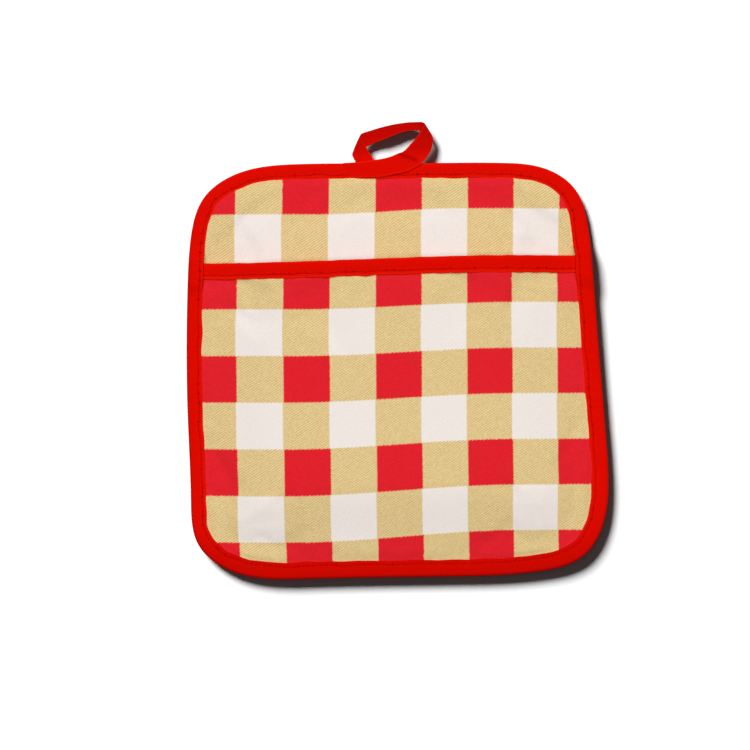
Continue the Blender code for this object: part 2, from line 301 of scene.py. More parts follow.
def buildMesh(name, points, faces, cornerUv, marks):
    mesh = bpy.data.meshes.new(name)
    mesh.from_pydata((np.asarray(points) * mm).tolist(), [], faces)
    layer = mesh.uv_layers.new(name="cloth")
    layer.data.foreach_set("uv", np.asarray(cornerUv, dtype=np.float32).ravel())
    for label, values in marks.items():
        attribute = mesh.attributes.new(label, "FLOAT", "POINT")
        attribute.data.foreach_set("value", np.asarray(values, dtype=np.float32).ravel())
    work = bmesh.new()
    work.from_mesh(mesh)
    bmesh.ops.recalc_face_normals(work, faces=work.faces)
    work.to_mesh(mesh)
    work.free()
    mesh.shade_smooth()
    piece = bpy.data.objects.new(name, mesh)
    bpy.context.scene.collection.objects.link(piece)
    return piece


def sweep(name, stations, along, closed, marks):
    # joins equal cross-sections; the UV map is millimetres along and across the tape
    rows, width = stations.shape[:2]
    across = np.array([lengthAlong(station, closed=True) for station in stations])
    faces, corners = [], []
    for row in range(rows if closed else rows - 1):
        after = (row + 1) % rows
        for spot in range(width):
            beside = (spot + 1) % width
            faces.append((row * width + spot, row * width + beside,
                          after * width + beside, after * width + spot))
            corners += [(along[row], across[row, spot]), (along[row], across[row, spot + 1]),
                        (along[row + 1], across[after, spot + 1]), (along[row + 1], across[after, spot])]
    if not closed:
        for row in (0, rows - 1):
            faces.append(tuple(row * width + spot for spot in range(width)))
            corners += [(along[row], across[row, spot]) for spot in range(width)]
    return buildMesh(name, stations.reshape(-1, 3), faces, corners, marks)


def slab(name, low, high, triangles, lowUv, highUv):
    # a closed body between two surfaces over the same triangles
    count = len(low)
    faces, corners, used = [], [], {}
    for triangle in triangles:
        faces.append(tuple(triangle))
        corners += [lowUv[spot] for spot in triangle]
        turned = tuple(reversed(triangle))
        faces.append(tuple(spot + count for spot in turned))
        corners += [highUv[spot] for spot in turned]
        for start, end in zip(triangle, (*triangle[1:], triangle[0])):
            used.setdefault(frozenset((start, end)), []).append((start, end))
    for edges in used.values():
        if len(edges) == 1:
            start, end = edges[0]
            faces.append((end, start, start + count, end + count))
            corners += [highUv[end], highUv[start], highUv[start], highUv[end]]
    return buildMesh(name, np.vstack([low, high]), faces, corners, {})


def applyModifiers(piece):
    bpy.ops.object.select_all(action="DESELECT")
    piece.select_set(True)
    bpy.context.view_layer.objects.active = piece
    for modifier in list(piece.modifiers):
        bpy.ops.object.modifier_apply(modifier=modifier.name)
    piece.select_set(False)


def subdivideOnce(piece):
    smooth = piece.modifiers.new("Smooth", "SUBSURF")
    smooth.levels = 1
    smooth.render_levels = 1
    smooth.uv_smooth = "NONE"
    applyModifiers(piece)


def dress(piece, material, slotName, *nodes):
    piece.data.materials.append(material)
    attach(piece, body)
    if nodes:
        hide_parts(*nodes)


# Materials

def tone(red, green, blue):
    def linear(value):
        share = value / 255.0
        return share / 12.92 if share <= 0.04045 else ((share + 0.055) / 1.055) ** 2.4
    return (linear(red), linear(green), linear(blue), 1.0)


class Wire:
    # a socket that takes part in sums
    def __init__(self, paint, node, socket):
        self.paint, self.node, self.socket = paint, node, socket

    def out(self, name):
        return Wire(self.paint, self.node, self.node.outputs[name])

    def __add__(self, other):
        return self.paint.maths("ADD", self, other)

    def __sub__(self, other):
        return self.paint.maths("SUBTRACT", self, other)

    def __rsub__(self, other):
        return self.paint.maths("SUBTRACT", other, self)

    def __mul__(self, other):
        return self.paint.maths("MULTIPLY", self, other)

    __radd__ = __add__
    __rmul__ = __mul__


class Paint:
    def __init__(self, name, **fixed):
        self.material = bpy.data.materials.new(name)
        self.material.use_nodes = True
        self.tree = self.material.node_tree
        self.shader = self.tree.nodes["Principled BSDF"]
        for socket, value in fixed.items():
            self.shader.inputs[socket.replace("_", " ")].default_value = value

    def feed(self, socket, value):
        if isinstance(value, Wire):
            self.tree.links.new(value.socket, socket)
        else:
            socket.default_value = value

    def add(self, kind, settings, values, output=0):
        node = self.tree.nodes.new(kind)
        for key, value in settings.items():
            setattr(node, key, value)
        for key, value in values.items():
            self.feed(node.inputs[key], value)
        return Wire(self, node, node.outputs[output])

    def maths(self, operation, *values):
        return self.add("ShaderNodeMath", {"operation": operation}, dict(enumerate(values)))

    def vector(self, x, y, z=0.0):
        return self.add("ShaderNodeCombineXYZ", {}, {"X": x, "Y": y, "Z": z})

    def noise(self, place, scale, detail):
        return self.add("ShaderNodeTexNoise", {"noise_dimensions": "3D"},
                        {"Vector": place, "Scale": scale, "Detail": detail})

    def chance(self, place):
        return self.add("ShaderNodeTexWhiteNoise", {"noise_dimensions": "3D"}, {"Vector": place})

    def step(self, value, low, high, start=0.0, end=1.0):
        return self.add("ShaderNodeMapRange", {"interpolation_type": "SMOOTHSTEP"},
                        {"Value": value, "From Min": low, "From Max": high,
                         "To Min": start, "To Max": end})

    def ripple(self, value):
        return self.maths("COSINE", value * (2.0 * math.pi)) * 0.5 + 0.5

    def mix(self, share, first, second, blend="MIX"):
        node = self.tree.nodes.new("ShaderNodeMix")
        node.data_type = "RGBA"
        node.blend_type = blend
        self.feed(node.inputs["Factor"], share)
        self.feed(node.inputs[6], first)
        self.feed(node.inputs[7], second)
        return Wire(self, node, node.outputs[2])

    def shade(self, color, light):
        # the colour made lighter or darker by a number
        if not isinstance(color, Wire):
            color = color[:3]
        grey = self.vector(light, light, light)
        return self.add("ShaderNodeVectorMath", {"operation": "MULTIPLY"}, {0: color, 1: grey})

    def finish(self, color, height, relief):
        self.feed(self.shader.inputs["Base Color"], color)
        bump = self.add("ShaderNodeBump", {}, {"Height": height, "Distance": relief * mm, "Strength": 1.0})
        self.feed(self.shader.inputs["Normal"], bump)
        return self.material


cloth = {
    "square": 22.4,
    "red": (221, 31, 42),
    "white": (237, 228, 221),
    "tanPale": (232, 210, 156),
    "tanDark": (204, 172, 112),
    "twillAcross": 1.95,  # from one diagonal rib to the next, along the weft
    "twillUp": 1.2,
    "threadAcross": 0.565,
    "threadUp": 0.30,
    "whiteShift": 0.022,  # how far the columns step aside in the pale rows, in squares
    "ribShift": 0.02,  # unevenness of the squares' edges, also in squares
    "threadShift": 0.012,
    "softEdge": 0.016,
    "relief": 0.07,
}


def clothFinish():
    paint = Paint("checkCloth", Roughness=0.95, Specular_IOR_Level=0.1)
    place = paint.add("ShaderNodeUVMap", {"uv_map": "cloth"}, {})
    split = paint.add("ShaderNodeSeparateXYZ", {}, {"Vector": place})
    u, v = split.out("X"), split.out("Y")
    x, y = u * cloth["square"], v * cloth["square"]
    slow = paint.noise(paint.vector(x, y), 0.35, 2.0)
    quick = paint.noise(paint.vector(x, y, 5.0), 0.9, 1.0)
    drift = slow + quick - 1.0
    phase = x * (1.0 / cloth["twillAcross"]) - y * (1.0 / cloth["twillUp"]) + drift * 0.5
    rib = paint.ripple(phase)
    strand = paint.chance(paint.vector(
        paint.maths("FLOOR", x * (1.0 / cloth["threadAcross"])),
        paint.maths("FLOOR", y * (1.0 / cloth["threadUp"]))))
    patches = paint.noise(paint.vector(x, y, 7.0), 0.8, 3.0)

    # Squares. Pale rows and columns lie where the wave is above the middle.
    uneven = (strand - 0.5) * cloth["threadShift"]
    ragged = (paint.maths("FRACT", phase) - 0.5) * cloth["ribShift"] + uneven
    softness = cloth["softEdge"]
    rowWave = paint.maths("PINGPONG", v + ragged + 101.5, 1.0)
    paleRow = paint.step(rowWave, 0.5 - softness, 0.5 + softness)
    columnWave = paint.maths("PINGPONG", u + paleRow * cloth["whiteShift"] + uneven + 100.5, 1.0)
    paleColumn = paint.step(columnWave, 0.5 - softness, 0.5 + softness)
    red = (1.0 - paleRow) * (1.0 - paleColumn)
    white = paleRow * paleColumn

    broken = paint.step(paint.noise(paint.vector(x, y, 9.0), 0.9, 2.0), 0.3, 0.6, 0.6, 1.0)
    strength = (rib - 0.5) * broken * 0.62 + 0.36 + strand * 0.28 + (patches - 0.5) * 0.5
    tan = paint.mix(paint.step(strength, 0.05, 0.95), tone(*cloth["tanDark"]), tone(*cloth["tanPale"]))
    redShade = 0.96 + rib * 0.05 + (strand - 0.5) * 0.12 + (patches - 0.5) * 0.2
    whiteShade = 0.955 + rib * 0.045 + (strand - 0.5) * 0.03 + (patches - 0.5) * 0.06
    color = paint.mix(red, tan, paint.shade(tone(*cloth["red"]), redShade))
    color = paint.mix(white, color, paint.shade(tone(*cloth["white"]), whiteShade))
    height = rib * 0.6 + strand * 0.25 + paint.noise(paint.vector(x, y, 3.0), 4.0, 2.0) * 0.5
    return paint.finish(color, height, cloth["relief"])


tape = {
    "red": (219, 11, 1),
    "seam": (128, 4, 3),  # painted shade, put in the stitched trough and needle holes, along the lower side and on the loop
    "fold": (252, 32, 3),  # painted highlight along its folded edges
    "thread": 0.42,
    "relief": 0.05,
}


def tapeFinish():
    paint = Paint("redTape", Roughness=0.92, Specular_IOR_Level=0.0)
    place = paint.add("ShaderNodeUVMap", {"uv_map": "cloth"}, {})
    split = paint.add("ShaderNodeSeparateXYZ", {}, {"Vector": place})
    x, y = split.out("X"), split.out("Y")
    bias = 1.0 / (tape["thread"] * math.sqrt(2.0))
    warp, weft = (x + y) * bias, (x - y) * bias
    weave = paint.ripple(warp) * 0.5 + paint.ripple(weft) * 0.5
    strand = paint.chance(paint.vector(paint.maths("FLOOR", warp), paint.maths("FLOOR", weft)))
    patches = paint.noise(paint.vector(x, y, 11.0), 0.45, 3.0)
    # the seam mark carries painted shade: the stitched troughs and needle holes, the lower side, and the
    # loop's standing part and creases
    seam = paint.add("ShaderNodeAttribute", {"attribute_name": "seam"}, {}, "Fac")
    # the fold mark carries a painted highlight along the folded edges
    fold = paint.add("ShaderNodeAttribute", {"attribute_name": "fold"}, {}, "Fac")
    light = 0.95 + weave * 0.03 + (strand - 0.5) * 0.06 + (patches - 0.5) * 0.07
    color = paint.mix(fold, tone(*tape["red"]), tone(*tape["fold"]))
    color = paint.mix(seam, color, tone(*tape["seam"]))
    height = weave * 0.6 + strand * 0.3
    return paint.finish(paint.shade(color, light), height, tape["relief"])


thread = {
    "red": (206, 6, 3),
    "radius": 0.2,
    "sides": 6,
    "dive": 0.45,  # how far its ends go down into the holes
    "rings": 6,
}


def threadFinish():
    paint = Paint("redThread", Roughness=0.9, Specular_IOR_Level=0.0)
    place = paint.add("ShaderNodeUVMap", {"uv_map": "cloth"}, {})
    split = paint.add("ShaderNodeSeparateXYZ", {}, {"Vector": place})
    ply = paint.ripple(split.out("X") * 1.6 + split.out("Y") * 0.8)
    color = paint.shade(tone(*thread["red"]), 0.85 + ply * 0.25)
    return paint.finish(color, ply, 0.06)


checkCloth = clothFinish()
redTape = tapeFinish()
redThread = threadFinish()
print("materials made")


# Check pattern: where the columns and rows fall on the sewn pieces

camera = {
    "centre": (-10.63, -2.18),
    "height": 2000.0,
    "width": 362.5,  # what it takes in at the table
    "sensor": 36.0,
}

check = {
    "pocket": {"x": -77.5, "pitch": 22.67, "drift": 0.00365,
               "leftY": 29.5, "leftPitch": 22.52, "rightY": 33.1, "rightPitch": 21.99,
               "blend": (-53.0, 60.0), "leanFrom": 38.9, "leanRun": 125.7, "lean": (1.7, 0.7)},
    "strip": {"x": -78.1, "pitch": 22.78, "drift": 0.0028,
              "leftY": 75.2, "leftPitch": 24.5, "rightY": 78.2, "rightPitch": 24.5,
              "blend": (-40.0, 30.0), "leanFrom": 38.9, "leanRun": 125.7, "lean": (0.0, 0.0)},
}


leanReach = 90.0  # how far out in x the left and right leans hold in full


def checkUv(points, heights, rows):
    # laid out as it looks from straight above the middle of the table
    middle = np.array(camera["centre"])
    nearer = camera["height"] / (camera["height"] - heights)
    seen = middle + (points - middle) * nearer[:, None]
    x, y = seen[:, 0], seen[:, 1]
    down = np.maximum(rows["leanFrom"] - y, 0.0) / rows["leanRun"]
    left, right = rows["lean"]
    share = np.clip(0.5 + 0.5 * x / leanReach, 0.0, 1.0)
    spot = (x - (left + (right - left) * share) * down * down - rows["x"]) / rows["pitch"]
    column = spot + rows["drift"] * spot * spot
    low, high = rows["blend"]
    blend = smoothRise((x - low) / (high - low))
    leftRow = (rows["leftY"] - y) / rows["leftPitch"]
    rightRow = (rows["rightY"] - y) / rows["rightPitch"]
    row = leftRow + (rightRow - leftRow) * blend
    return np.column_stack([column, -row])


# Padded back

pad = {
    "grid": 2.5,
    "stations": 312,
    "rings": (1.5, -0.5, -2.2),  # from the tape's inner edge, positive is under the tape
    "gridFrom": 3.7,
    "backStep": 1.8,
    "settle": {"pressure": 0.35, "ease": 0.006, "farthest": 1.0, "frames": 20},
    "fill": 0.35,
}


def gridPoints(spacing, margin):
    reach = np.abs(fineOutline).max()
    rows = np.arange(-reach, reach, spacing * math.sqrt(0.75))
    points = []
    for number, y in enumerate(rows):
        start = 0.5 * spacing * (number % 2)
        points += [(x, y) for x in np.arange(-reach + start, reach, spacing)]
    points = np.array(points)
    # inside the outline are the points that it turns round once
    towards = fineOutline[None, :, :] - points[:, None, :]
    turned = np.arctan2(towards[..., 1], towards[..., 0])
    steps = np.diff(np.concatenate([turned, turned[:, :1]], axis=1), axis=1)
    steps = (steps + np.pi) % (2.0 * np.pi) - np.pi
    points = points[np.abs(steps.sum(axis=1)) > np.pi]
    depths, widths = edgeAt(points)
    return points[depths > widths + margin]


def joinTriangles(rim, inner):
    flat = [Vector((float(x), float(y))) for x, y in np.vstack([rim, inner])]
    points, _, triangles, _, _, _ = delaunay_2d_cdt(flat, [], [list(range(len(rim)))], 1, 1e-5)
    return np.array([tuple(point) for point in points]), [tuple(triangle) for triangle in triangles]


def settleCloth(points, triangles, held, values):
    # a short cloth simulation: the cloth is a little too large and air presses it up
    mesh = bpy.data.meshes.new("settling")
    mesh.from_pydata((points * mm).tolist(), [], triangles)
    piece = bpy.data.objects.new("settling", mesh)
    bpy.context.scene.collection.objects.link(piece)
    group = piece.vertex_groups.new(name="held")
    group.add([int(spot) for spot in np.flatnonzero(held)], 1.0, "REPLACE")
    modifier = piece.modifiers.new("Cloth", "CLOTH")
    settings = modifier.settings
    settings.quality = 8
    settings.vertex_group_mass = "held"
    settings.shrink_min = -values["ease"]
    settings.use_pressure = True
    settings.uniform_pressure_force = values["pressure"]
    settings.effector_weights.gravity = 0.0
    modifier.point_cache.frame_end = values["frames"]
    for moment in range(1, values["frames"] + 1):
        bpy.context.scene.frame_set(moment)
    evaluated = piece.evaluated_get(bpy.context.evaluated_depsgraph_get())
    moved = np.empty(len(points) * 3)
    evaluated.data.vertices.foreach_get("co", moved)
    moved = moved.reshape(-1, 3) / mm - points
    bpy.context.scene.frame_set(1)
    bpy.data.objects.remove(piece, do_unlink=True)
    lengths = np.maximum(np.linalg.norm(moved, axis=1), 1e-9)
    print("  cloth moved up to", round(float(lengths.max()), 2), "mm")
    kept = np.minimum(1.0, values["farthest"] / lengths)
    return points + moved * kept[:, None]


clothRing = evenly(closedCurve(shape["outline"], 40), pad["stations"])
clothOut = outward(clothRing)


def inset(distance):
    return clothRing - clothOut * np.reshape(distance, (-1, 1))


def makePad():
    widths = faceWidth(clothOut)
    rings = [inset(widths - before) for before in pad["rings"]]
    flat, triangles = joinTriangles(inset(shape["clothEdge"]),
                                    np.vstack(rings + [gridPoints(pad["grid"], pad["gridFrom"])]))
    depths, near = edgeAt(flat)
    top = np.column_stack([flat, padTop(flat)])
    top = settleCloth(top, triangles, depths < near + 0.3, pad["settle"])
    turnedIn = near + layers["air"] + 0.5 * pad["backStep"]
    lift = layers["tape"] + layers["air"]
    low = np.column_stack([flat, lift * (1.0 - smoothRise((depths - turnedIn) / pad["backStep"] + 0.5))])
    heights = padTop(flat)
    highUv = checkUv(flat, heights, check["strip"])
    lowUv = np.column_stack([-flat[:, 0], flat[:, 1]]) / cloth["square"]
    piece = slab("padCloth", low, top, triangles, lowUv, highUv)
    subdivideOnce(piece)
    dress(piece, checkCloth, "check_cloth", "pad")


makePad()
print("pad made")


# Pocket panel

pocket = {
    "mouthStations": 80,
    "bandRows": (1.6, 4.0, 7.0, 8.8),  # rows of points below the cut edge, under and just past the band
    "cornerRoom": 1.5,
    "settle": {"pressure": 0.3, "ease": 0.006, "farthest": 1.0, "frames": 20},
    "flat": (0.198, 0.152),
    "area": 0.0288,
}


def makePocket():
    left, right = mouth["ends"]
    across = np.linspace(left, right, pocket["mouthStations"])
    rim = np.column_stack([across, mouthLine(across) - mouth["panelBelow"]])
    seam = inset(shape["clothEdge"])
    under = seam[:, 1] < mouthLine(seam[:, 0]) - mouth["panelBelow"] - pocket["cornerRoom"]
    first = int(np.argmax(under & ~np.roll(under, 1)))
    sewn = np.roll(seam, -first, axis=0)[:int(under.sum())]
    inner = [np.column_stack([across[1:-1], rim[1:-1, 1] - drop]) for drop in pocket["bandRows"]]
    lowest = pocket["bandRows"][-1] + mouth["panelBelow"] + pocket["cornerRoom"]
    widths = faceWidth(clothOut)
    rings = [inset(widths - before) for before in pad["rings"]]
    for points in rings + [gridPoints(pad["grid"], pad["gridFrom"])]:
        inner.append(points[points[:, 1] < mouthLine(points[:, 0]) - lowest])
    flat, triangles = joinTriangles(np.vstack([rim, sewn]), np.vstack(inner))
    depths, near = edgeAt(flat)
    thick = panelHigh(flat) - panelLow(flat)
    start = np.column_stack([flat, panelHigh(flat)])
    held = (depths < near + 0.3) | (flat[:, 1] > mouthLine(flat[:, 0]) - bandHeight(flat[:, 0]) - 0.3)
    top = settleCloth(start, triangles, held, pocket["settle"])
    low = top - np.column_stack([np.zeros_like(flat), thick])
    uv = checkUv(flat, start[:, 2], check["pocket"])
    piece = slab("pocketPanel", low, top, triangles, uv, uv)
    subdivideOnce(piece)
    dress(piece, checkCloth, "check_cloth", "pocket")


makePocket()
print("pocket panel made")


# Edge binding

acrossTrough = (-0.9, -0.55, -0.25, 0.0, 0.25, 0.55, 0.9)  # from the stitch line

binding = {
    "stations": 1560,
    "wave": 0.13,  # unevenness of its inner edge
    "nose": 1.9,  # from the outline to the flat of the face
    "crown": 0.12,
    "fall": 0.18,  # its face is lower at the outer edge
    "lowerShade": 0.24,  # painted shade: the tape is darker along the lower side
    "seamFromEdge": 1.9,
    "trough": 0.15,
    "troughWidth": 0.62,
    "pitch": 4.55,
    "hole": 0.32,
    "holeLength": 0.55,
    "pucker": 0.05,
    "sink": 0.05,  # the stitched stretch lies lower than the face
    "backTrough": 0.28,
    "backHole": 0.3,
    "troughShade": 0.06,  # how much painted shade its trough and its holes take
    "holeShade": 1.1,
    "flat": (0.0184, 0.733),
}


# The rounded edge of a folded tape, from its back at -90 degrees to its front at 90
def roundedIn(angle):
    return 1.0 - math.cos(angle) ** 0.8


def bulge(angle):
    return math.copysign(abs(math.sin(angle)) ** 0.85, angle)


def stitchPhase(line, pitch, closed):
    lengths = lengthAlong(line, closed)
    count = round(lengths[-1] / pitch)
    return lengths[:len(line)] / lengths[-1] * count, count


def holeMark(phase, pitch, length):
    off = (phase - np.round(phase)) * pitch
    return np.exp(-(off / length) ** 2)


def stitchRow(line, heights, phase, count, closed, front):
    # thread paths from hole to hole along a trough
    full = np.append(phase, count) if closed else phase
    points = np.column_stack([line, heights])
    if closed:
        points = np.vstack([points, points[:1]])
    paths = []
    for mark in range(count):
        spots = np.linspace(mark + 0.1, mark + 0.9, thread["rings"] + 1)
        path = np.column_stack([np.interp(spots, full, points[:, axis]) for axis in range(3)])
        ends = np.abs(np.linspace(-1.0, 1.0, len(spots))) ** 4
        side = 1.0 if front else -1.0
        path[:, 2] += side * (0.55 * thread["radius"] - thread["dive"] * ends)
        paths.append(path)
    return paths


def makeThreads(name, paths):
    points, faces, corners = [], [], []
    sides = thread["sides"]
    angles = np.linspace(0.0, 2.0 * np.pi, sides, endpoint=False)
    for path in paths:
        first = len(points)
        along = np.gradient(path, axis=0)
        along /= np.linalg.norm(along, axis=1)[:, None]
        across = np.cross(along, (0.0, 0.0, 1.0))
        across /= np.linalg.norm(across, axis=1)[:, None]
        up = np.cross(across, along)
        lengths = lengthAlong(path)
        taper = 1.0 - 0.45 * np.abs(np.linspace(-1.0, 1.0, len(path))) ** 3
        for spot in range(len(path)):
            radius = thread["radius"] * taper[spot]
            for angle in angles:
                turned = across[spot] * math.cos(angle) + up[spot] * math.sin(angle)
                points.append(path[spot] + radius * turned)
        for ring in range(len(path) - 1):
            for side in range(sides):
                beside = (side + 1) % sides
                faces.append((first + ring * sides + side, first + ring * sides + beside,
                              first + (ring + 1) * sides + beside, first + (ring + 1) * sides + side))
                corners += [(lengths[ring], side), (lengths[ring], side + 1),
                            (lengths[ring + 1], side + 1), (lengths[ring + 1], side)]
        for ring in (0, len(path) - 1):
            faces.append(tuple(first + ring * sides + side for side in range(sides)))
            corners += [(lengths[ring], side) for side in range(sides)]
    piece = buildMesh(name, points, faces, corners, {})
    dress(piece, redThread, "red_tape")
    return piece


def widest(values, reach):
    return np.max([np.roll(values, shift) for shift in range(-reach, reach + 1)], axis=0)


def softened(values, reach):
    total = np.zeros_like(values)
    for shift in range(-reach, reach + 1):
        total += np.roll(values, shift, axis=0)
    return total / (2 * reach + 1)


def makeEdgeBinding():
    ring = evenly(closedCurve(shape["outline"], 60), binding["stations"])
    out = outward(ring)
    count = len(ring)
    places = np.arange(count) / count
    width = faceWidth(out) + binding["wave"] * wander(places, 18, 70, 3)
    seamDepth = width - binding["seamFromEdge"] + 0.12 * wander(places, 10, 45, 5)
    top = tapeTop(ring - out * shape["clothEdge"])
    foot = seenSurface(ring - out * width[:, None])
    foot = np.minimum(softened(widest(foot, 3), 3) + layers["air"], top - 0.45)
    seamLine = ring - out * seamDepth[:, None]
    phase, stitches = stitchPhase(seamLine, binding["pitch"], closed=True)
    chance = np.random.default_rng(17)
    deep = chance.uniform(0.2, 0.85, stitches)[np.round(phase).astype(int) % stitches]
    hole = holeMark(phase, binding["pitch"], binding["holeLength"]) * deep
    ripple = binding["pucker"] * (wander(places, 60, 170, 7) + np.cos(2.0 * np.pi * phase))

    rows, paintedShades, paintedHighlights = [], [], []

    def add(inward, height, seam, fold):
        spot = ring - out * np.broadcast_to(inward, count)[:, None]
        rows.append(np.column_stack([spot, np.broadcast_to(height, count)]))
        # painted shade in the troughs and holes, and along the lower side
        paintedShades.append(np.maximum(seam, binding["lowerShade"] * smoothRise(-out[:, 1])))
        # painted highlight along the folded edges, stronger on the upper side
        paintedHighlights.append(fold * (0.5 + 0.5 * out[:, 1]))

    nose, thick = binding["nose"], layers["tape"]
    # back face, from its inner edge outwards
    add(width, 0.55 * thick, 0.0, 0.3)
    add(width - 0.25, 0.12 * thick, 0.0, 0.3)
    add(width - 0.8, 0.0, 0.0, 0.0)
    # the back's stitched trough, with painted shade in it
    for off in (0.5, 0.0, -0.5):
        dip = math.exp(-(off / binding["troughWidth"]) ** 2)
        lifted = dip * (binding["backTrough"] + binding["backHole"] * hole)
        add(seamDepth + off, lifted, dip * (0.5 + 0.5 * hole), 0.0)
    add(0.5 * (nose + seamDepth), 0.0, 0.0, 0.0)
    # round the edge
    middle = 0.5 * (top - binding["fall"])
    for turn in np.linspace(-90.0, 90.0, 11):
        angle = math.radians(turn)
        inward = nose * roundedIn(angle)
        lifted = middle * (1.0 + bulge(angle))
        # painted highlight on the rounded edge, strongest a little past its middle towards the front
        flat = max(0.0, 1.0 - abs(turn - 20.0) / 45.0)
        add(inward, lifted, 0.0, flat)
    # front face
    run = seamDepth - nose
    for share in (0.25, 0.5, 0.75):
        lift = binding["crown"] * math.sin(math.pi * share) + ripple * (0.3 + 0.7 * share)
        lift = lift - binding["fall"] * (1.0 - share)
        add(nose + run * share - 0.9 * share, top + lift, 0.0, 0.0)
    for off in acrossTrough:
        dip = math.exp(-(off / binding["troughWidth"]) ** 2)
        down = dip * (binding["trough"] + binding["hole"] * hole)
        # painted shade in the trough, darker still at the needle holes
        paintedShade = dip * (binding["troughShade"] + binding["holeShade"] * hole)
        add(seamDepth + off, top + 0.5 * ripple - down - binding["sink"], paintedShade, 0.12)
    lip = width - seamDepth
    # painted highlight along the lip and the inner edge
    add(seamDepth + 0.75 * lip, top - 0.10 - 0.4 * ripple, 0.0, 0.6)
    add(width - 0.15, np.maximum(top - 0.45, foot + 0.22), 0.0, 0.9)
    add(width, 0.5 * (foot + np.maximum(top - 0.55, foot + 0.18)), 0.0, 0.6)
    add(width - 0.12, foot, 0.0, 0.0)
    # inside, against the cloth
    add(width - 0.7, top - thick, 0.0, 0.0)
    add(nose, top - thick, 0.0, 0.0)
    add(1.0, top - 1.6 * thick, 0.0, 0.0)
    add(1.0, 1.6 * thick, 0.0, 0.0)
    add(nose, thick, 0.0, 0.0)
    add(width - 0.5, thick, 0.0, 0.0)

    stations = np.stack(rows, axis=1)
    marks = {"seam": np.clip(np.stack(paintedShades, axis=1), 0.0, 1.0), "fold": np.stack(paintedHighlights, axis=1)}
    piece = sweep("edgeBinding", stations, lengthAlong(ring, closed=True), True, marks)
    dress(piece, redTape, "red_tape", "edge_binding")
    troughTop = top - binding["trough"] - binding["sink"]
    troughBack = np.full(count, binding["backTrough"] + binding["backHole"])
    front = stitchRow(seamLine, troughTop, phase, stitches, True, True)
    back = stitchRow(seamLine, troughBack, phase, stitches, True, False)
    threads = makeThreads("edgeStitches", front + back)


makeEdgeBinding()
print("edge binding made")


# Mouth band

band = {
    "stations": 380,
    "wave": 0.10,
    "nose": 1.3,
    "seamFromEdge": 2.1,
    "trough": 0.15,
    "troughWidth": 0.6,
    "pitch": 3.9,
    "hole": 0.3,
    "holeLength": 0.55,
    "pucker": 0.04,
    "sink": 0.03,
    # painted shade in the trough, and more at its needle holes
    "troughShade": 0.05,
    "holeShade": 1.1,
    "flat": (0.0175, 0.19),
}


